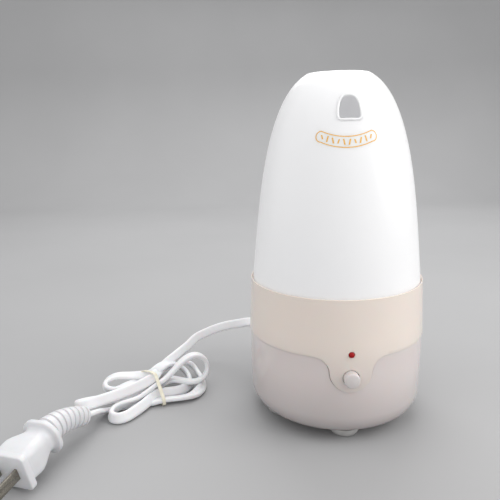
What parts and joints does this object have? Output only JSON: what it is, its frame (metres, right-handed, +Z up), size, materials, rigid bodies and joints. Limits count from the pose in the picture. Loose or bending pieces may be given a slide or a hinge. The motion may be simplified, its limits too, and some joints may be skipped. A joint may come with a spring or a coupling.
{
  "type": "wax warmer pot",
  "caption": "Small electric wax warmer: round base with a heated well and lift-out pot under a tall frosted dome with a vent, with a push button, lamp and mains lead.",
  "frame": {"origin": "floor, under the axis of the dome and the base", "axes": "+Z up, -Y towards the push button at the front, +X to the right seen from the front"},
  "size_m": [0.25, 0.1833, 0.2113],
  "materials": {
    "casing_white": "gloss",
    "dome_frosted": "frosted translucent",
    "pot_aluminium": "spun satin",
    "well_aluminium": "cast, dark satin",
    "gasket_silicone": "matt",
    "zinc_steel": "zinc plated",
    "heater_ceramic": "matt",
    "thermostat_phenolic": "matt",
    "fuse_gold": "gloss",
    "board_green": "satin",
    "resistor_tan": "satin",
    "switch_black": "matt",
    "plunger_white": "satin",
    "button_white": "gloss",
    "lamp_red": "clear red",
    "block_nylon": "matt",
    "screw_brass": "satin",
    "gland_white": "matt",
    "clamp_nylon": "matt",
    "wire_sleeve": "satin",
    "foot_rubber": "matt",
    "lead_white": "satin",
    "tie_cream": "satin",
    "plug_white": "satin",
    "blade_nickel": "nickel plated"
  },
  "bodies": {
    "base": {"lower_shell": "casing_white", "upper_housing": "casing_white", "heating_well": "well_aluminium", "well_gasket": "gasket_silicone", "well_screws": "zinc_steel", "heater_disc": "heater_ceramic", "clamp_plate": "zinc_steel", "clamp_nuts": "zinc_steel", "shield_spacer": "zinc_steel", "heat_shield": "zinc_steel", "thermostat": "thermostat_phenolic", "thermostat_screws": "zinc_steel", "thermal_fuse": "fuse_gold", "fuse_clip": "zinc_steel", "control_board": "board_green", "lamp_resistor": "resistor_tan", "switch_body": "switch_black", "button_spring": "zinc_steel", "indicator_lamp": "lamp_red", "terminal_block": "block_nylon", "terminal_screws": "screw_brass", "cord_gland": "gland_white", "cord_clamp": "clamp_nylon", "cord_clamp_screws": "zinc_steel", "mains_wires": "wire_sleeve", "heater_wires": "wire_sleeve", "switch_wires": "wire_sleeve", "housing_screws": "zinc_steel", "foot_front": "foot_rubber", "foot_right_front": "foot_rubber", "foot_right_back": "foot_rubber", "foot_left_back": "foot_rubber", "foot_left_front": "foot_rubber", "cord_lead": "lead_white", "cord_hank": "lead_white", "cord_tie": "tie_cream", "cord_tail": "lead_white", "plug_relief": "plug_white", "plug_body": "plug_white", "plug_blades": "blade_nickel"},
    "dome": {"dome_cover": "dome_frosted"},
    "pot": {"inner_pot": "pot_aluminium"},
    "button": {"push_button": "button_white", "switch_plunger": "plunger_white"}
  },
  "joints": [
    {"name": "dome_lift", "type": "slide", "parent": "base", "child": "dome", "axis": [0, 0, 1], "range_m": [0, 0.06]},
    {"name": "pot_lift", "type": "slide", "parent": "base", "child": "pot", "axis": [0, 0, 1], "range_m": [0, 0.038]},
    {"name": "button_press", "type": "slide", "parent": "base", "child": "button", "axis": [0, 1, 0], "range_m": [0, 0.0025], "stiffness_N_per_m": 500, "springref_m": -0.001, "deforming": ["button_spring"]}
  ]
}
